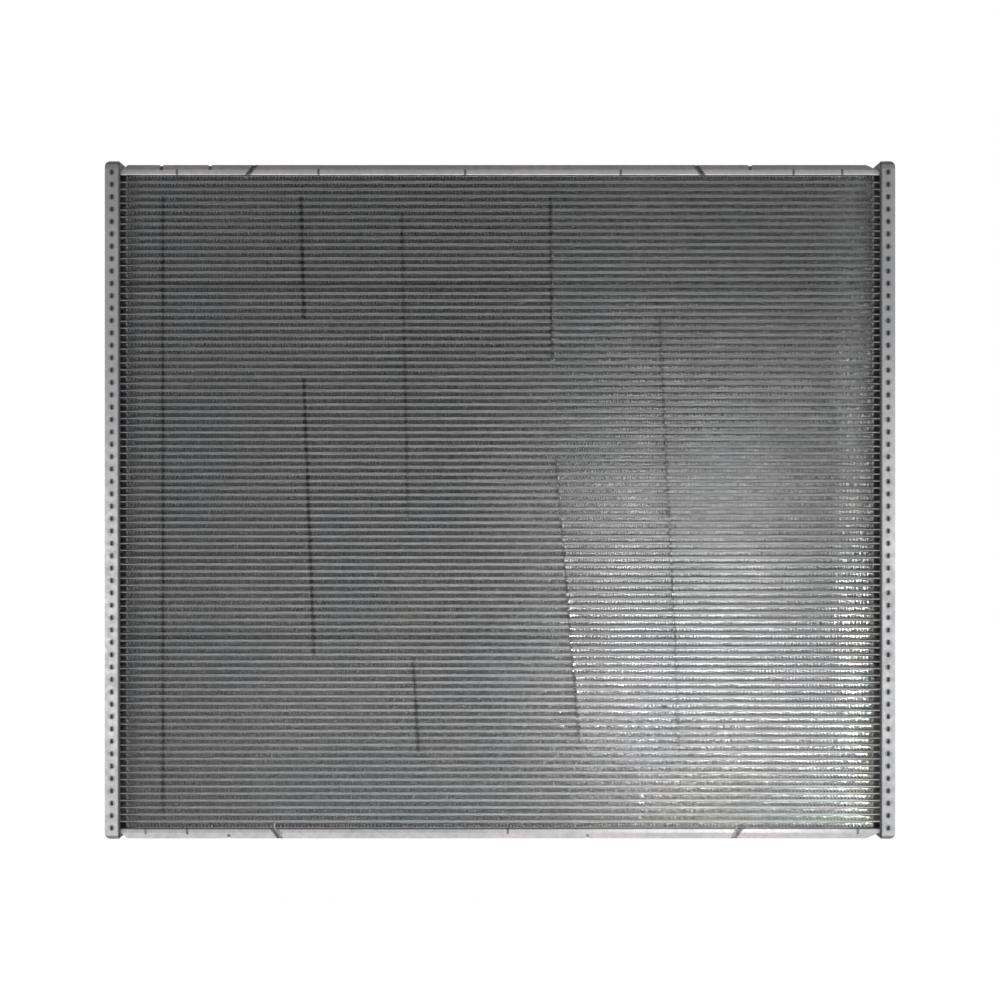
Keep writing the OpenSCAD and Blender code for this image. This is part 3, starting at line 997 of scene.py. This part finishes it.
class COOLER_OT_finishes(bpy.types.Operator):
    """Gives the CAD pieces that stay their finishes"""

    bl_idname = "cooler.finishes"
    bl_label = "Finishes"

    def execute(self, context):
        colours = context.scene.cooler_finishes
        groups = shader_groups()
        header = sheet_finish("header_sheet", colours.header, groups, 1500.0, 30.0)
        dress("left_header", header)
        dress("right_header", header)
        for edge in PLATE_EDGES:
            finish = sheet_finish(edge.name + "_plate_sheet", colours.plate, groups, 30.0, 1500.0, edge)
            dress(edge.name + "_side", finish)
        dress("oil_tubes", tube_finish(colours, groups))
        dress("turbulators", turbulator_finish(colours, groups))
        return {"FINISHED"}


# ---- Studio ----

# Each lamp's place, what it points at, and its width and height.
KEY = ((1.6, -1.6, 0.5), (0.35, 0, 0.1), (0.8, 0.8))
FRONT = ((-0.05, -0.5, 0.08), (-0.05, 0, 0.15), (0.66, 0.05))
RIGHT = ((0.3, -0.5, 0.06), (0.3, 0, 0.08), (0.24, 0.06))
# Lamps that only light the tubes and the braze beads, each with its power.
CREST_LAMPS = (
    ((-0.75, -0.6, 0.35), (-0.46, 0, 0.35), (0.1, 0.6), 0.5),
    ((0.3, -0.5, 0.06), (0.3, 0, 0.1), (0.3, 0.06), 1.4),
)
# Lamps that only light the headers, each with its power.
SIDE_LAMPS = (
    ((-0.65, -1.5, 0.22), (-0.445, 0, 0.25), (0.3, 0.4), 0.9),
    ((0.65, -1.5, 0.22), (0.445, 0, 0.25), (0.3, 0.4), 0.7),
)
# A wall of lamps behind the core, whose light comes through the fins. Its columns have two edges
# and a brightness each, and its rows lie between these heights. It is brighter low down: to an even
# light it adds a low one, which fades with height. The lamps point a little towards the core's
# middle height, by this share of the way.
WALL_Y = 0.2
WALL_SPREAD = math.radians(32)
WALL_COLUMNS = (
    (-0.30, -0.18, 0.12), (-0.18, -0.06, 0.4), (-0.06, 0.15, 1.9), (0.15, 0.37, 1.18), (0.37, 0.46, 4.8),
)
WALL_EDGES = (0.002, 0.05, 0.10, 0.15, 0.20, 0.26, 0.33, 0.42, 0.56, 0.80)
WALL_EVEN = 2.5
WALL_LOW = 370
WALL_FADE = 0.07
WALL_LIFT = 0.0625

FLOOR_REACH = 6.0


def lamp(name, place, target, size, power):
    """A soft square lamp at place that shines towards target."""
    light = bpy.data.lights.new(name, "AREA")
    light.shape = "RECTANGLE"
    light.size, light.size_y = size
    light.energy = power
    piece = bpy.data.objects.new(name, light)
    piece.location = place
    direction = Vector(target) - Vector(place)
    piece.rotation_euler = direction.to_track_quat("-Z", "Y").to_euler()
    piece.visible_camera = False
    bpy.context.collection.objects.link(piece)
    return piece


def wall_of_lamps(strength):
    """The lamps behind the core, row by row. Each one's power goes with its size, its column's
    brightness and its height."""
    lamps = []
    for low, high in zip(WALL_EDGES, WALL_EDGES[1:]):
        z = (low + high) / 2
        row_share = WALL_EVEN + WALL_LOW * math.exp(-z / WALL_FADE)
        target_z = z + (MIDDLE[2] - z) * WALL_LIFT
        for left, right, column_share in WALL_COLUMNS:
            x = (left + right) / 2
            size = (right - left, high - low)
            power = row_share * column_share * strength * math.pi * size[0] * size[1]
            each = lamp("wall_lamp", (x, WALL_Y, z), (x, 0, target_z), size, power)
            each.data.spread = WALL_SPREAD
            lamps.append(each)
    return lamps


def flag_lamps(lamps, pieces, state="EXCLUDE"):
    """Keeps the light of these lamps off these pieces, as a flag on a stand would. With the state
    INCLUDE, the pieces are the only ones that the lamps light."""
    flagged = bpy.data.collections.new("flagged_" + lamps[0].name)
    for piece in pieces:
        flagged.objects.link(piece)
    for member in flagged.collection_objects:
        member.light_linking.link_state = state
    for each in lamps:
        each.light_linking.receiver_collection = flagged


def seen_or_mirrored(tree):
    """Two values: 1 for rays from the camera, from a mirror-like surface or through glass, and 0
    for the rest, and the same for rays from the camera alone."""
    path = put(tree, "LightPath", {}).outputs
    seen = math_node(tree, "MAXIMUM", path["Is Camera Ray"], path["Is Glossy Ray"])
    return math_node(tree, "MAXIMUM", seen, path["Is Transmission Ray"]), path["Is Camera Ray"]


def floor_finish():
    """White floor that stays white to the camera and in reflections, and takes a faint shadow."""
    finish, tree, shader = new_finish("pale_floor")
    fill(tree, shader, {"Base Color": (0.45, 0.45, 0.45, 1), "Roughness": 0.9, "Specular IOR Level": 0.0})
    glow = put(tree, "Emission", {"Strength": times(tree, seen_or_mirrored(tree)[0], 0.905)})
    both = put(tree, "AddShader", {0: shader.outputs[0], 1: glow.outputs[0]})
    tree.links.new(both.outputs[0], tree.nodes["Material Output"].inputs[0])
    return finish


def surroundings(studio):
    """White behind the core for the camera, and a room that is dim in front of it and above."""
    world = bpy.data.worlds.new("surroundings")
    world.use_nodes = True
    tree = world.node_tree
    seen, camera = seen_or_mirrored(tree)
    direction = put(tree, "SeparateXYZ", {0: put(tree, "TexCoord", {}).outputs["Generated"]})
    behind = put(tree, "MapRange", {
        "Value": direction.outputs["Y"], "From Min": 0.1, "From Max": 0.8,
        "To Min": studio.room, "To Max": 1.0,
    }, interpolation_type="SMOOTHSTEP").outputs[0]
    shade = math_node(tree, "MAXIMUM", behind, camera)
    fill(tree, tree.nodes["Background"], {
        "Color": (1, 1, 1, 1),
        "Strength": times(tree, shade, ramped(tree, seen, 0, 1, studio.ambient, 1)),
    })
    return world


def pale_floor():
    """A square floor under the core."""
    mesh = bpy.data.meshes.new("floor")
    side = FLOOR_REACH
    places = [(-side, -side, 0), (side, -side, 0), (side, side, 0), (-side, side, 0)]
    mesh.from_pydata(places, [], [(0, 1, 2, 3)])
    mesh.materials.append(floor_finish())
    floor = bpy.data.objects.new("floor", mesh)
    bpy.context.collection.objects.link(floor)
    return floor


def front_camera(studio):
    """A level camera in front of the core's middle, whose lens makes the core fill its share of the
    frame."""
    data = bpy.data.cameras.new("camera")
    camera = bpy.data.objects.new("camera", data)
    bpy.context.collection.objects.link(camera)
    camera.location = (0, -studio.distance, MIDDLE[2])
    camera.rotation_euler = (math.pi / 2, 0, 0)
    seen_width = (OBJECT_HIGH[0] - OBJECT_LOW[0]) / studio.filled
    data.lens = data.sensor_width * (studio.distance + OBJECT_LOW[1]) / seen_width
    data.clip_end = 50
    return camera


class COOLER_OT_stage(bpy.types.Operator):
    """Makes the floor, the surroundings, the lamps and the camera"""

    bl_idname = "cooler.stage"
    bl_label = "Stage"

    def execute(self, context):
        scene = context.scene
        studio = scene.cooler_studio
        floor = pale_floor()
        scene.world = surroundings(studio)
        headers = [NODES["left_header"], NODES["right_header"]]
        bottom = [NODES[name] for name in nodes_named("bottom_side")]
        top = [NODES[name] for name in nodes_named("top_side")]
        tubes = [NODES[name] for name in nodes_named("oil_tubes")]
        beads = [piece for piece in bpy.data.objects if piece.name.startswith("beads")]
        flag_lamps([lamp("key_lamp", *KEY, studio.key_power)], beads)
        flag_lamps([lamp("front_lamp", *FRONT, studio.front_power)], [*bottom, *headers])
        flag_lamps([lamp("right_lamp", *RIGHT, studio.right_power)], headers)
        flag_lamps([lamp("crest_lamp", *settings) for settings in CREST_LAMPS], [*beads, *tubes], "INCLUDE")
        flag_lamps([lamp("side_lamp", *settings) for settings in SIDE_LAMPS], headers, "INCLUDE")
        flag_lamps(wall_of_lamps(studio.wall_strength), [*headers, *tubes, *beads, *bottom, *top, floor])
        scene.camera = front_camera(studio)
        scene.view_settings.view_transform = "Standard"
        return {"FINISHED"}


# ---- Panel and registration ----


class COOLER_PT_panel(bpy.types.Panel):
    """Lists the steps that finish the cooler core"""

    bl_idname = "COOLER_PT_panel"
    bl_label = "Oil Cooler"
    bl_space_type = "VIEW_3D"
    bl_region_type = "UI"
    bl_category = "Oil Cooler"

    def draw(self, context):
        for step in OPERATORS:
            self.layout.operator(step.bl_idname)


OPERATORS = (
    COOLER_OT_air_fins, COOLER_OT_braze_beads, COOLER_OT_shade_strip_and_burrs, COOLER_OT_finishes, COOLER_OT_stage,
)
GROUPS = {
    "cooler_fins": FinSizes, "cooler_beads": BeadSizes, "cooler_burrs": StripAndBurrSizes,
    "cooler_finishes": Finishes, "cooler_studio": Studio,
}


def register():
    for cls in (*GROUPS.values(), *OPERATORS, COOLER_PT_panel):
        bpy.utils.register_class(cls)
    for name, group in GROUPS.items():
        setattr(bpy.types.Scene, name, PointerProperty(type=group))


def unregister():
    for name in GROUPS:
        delattr(bpy.types.Scene, name)
    for cls in (COOLER_PT_panel, *OPERATORS, *GROUPS.values()):
        bpy.utils.unregister_class(cls)


def main():
    register()
    bpy.ops.cooler.air_fins()
    bpy.ops.cooler.braze_beads()
    bpy.ops.cooler.saw_burrs()
    bpy.ops.cooler.finishes()
    bpy.ops.cooler.stage()


if __name__ == "__main__":
    main()
